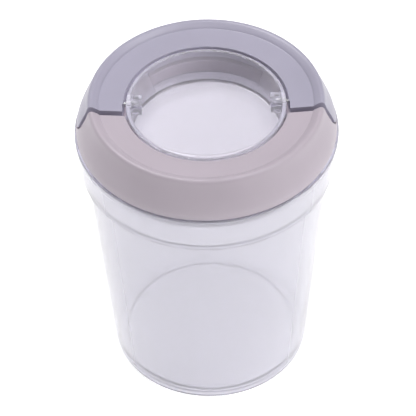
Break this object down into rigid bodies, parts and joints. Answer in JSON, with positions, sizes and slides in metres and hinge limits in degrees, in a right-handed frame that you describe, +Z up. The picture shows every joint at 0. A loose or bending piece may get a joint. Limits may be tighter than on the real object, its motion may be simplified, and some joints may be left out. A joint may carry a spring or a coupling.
{
  "type": "flip-lock storage canister",
  "caption": "Round clear tapered kitchen canister with a raised lid ring, a clear centre cup and a half-ring handle that flips up to free the seal.",
  "frame": {"origin": "middle of the ring that the canister stands on, on the table", "axes": "+Z up along the canister's axis; front is -Y; the handle folds down over the +Y half; hinge axis along X"},
  "size_m": [0.125, 0.125, 0.1616],
  "materials": {
    "clear_plastic": "clear moulded plastic with a faint lavender tint, polished",
    "clear_plastic_cup": "clear moulded plastic, polished",
    "clear_plastic_frosted": "clear plastic, lightly frosted",
    "clear_plastic_block": "clear moulded plastic",
    "silicone": "translucent silicone",
    "mauve_plastic": "satin moulded plastic, dusty mauve",
    "grey_plastic": "satin moulded plastic, lavender grey",
    "pin_steel": "drawn stainless wire"
  },
  "bodies": {
    "canister": {"canister_body": "clear_plastic"},
    "lid": {"lid_ring": "mauve_plastic", "pressure_ring": "clear_plastic_frosted", "seal_gasket": "silicone"},
    "cup": {"centre_cup": "clear_plastic_cup", "hinge_block_left": "clear_plastic_block", "hinge_block_right": "clear_plastic_block", "hinge_pin_left": "pin_steel", "hinge_pin_right": "pin_steel"},
    "handle": {"flip_handle": "grey_plastic"}
  },
  "joints": [
    {"name": "lid_lift", "type": "slide", "parent": "canister", "child": "lid", "axis": [0, 0, 1], "range_m": [0, 0.06]},
    {"name": "cup_drop", "type": "slide", "parent": "lid", "child": "cup", "axis": [0, 0, -1], "range_m": [0, 0.0014]},
    {"name": "handle_flip", "type": "hinge", "parent": "cup", "child": "handle", "pos_m": [0, 0.0025, 0.1558], "axis": [1, 0, 0], "range_deg": [0, 90]}
  ],
  "couplings": [
    {"joint": "cup_drop", "follows": "handle_flip", "m_per_rad": 0.00089}
  ]
}
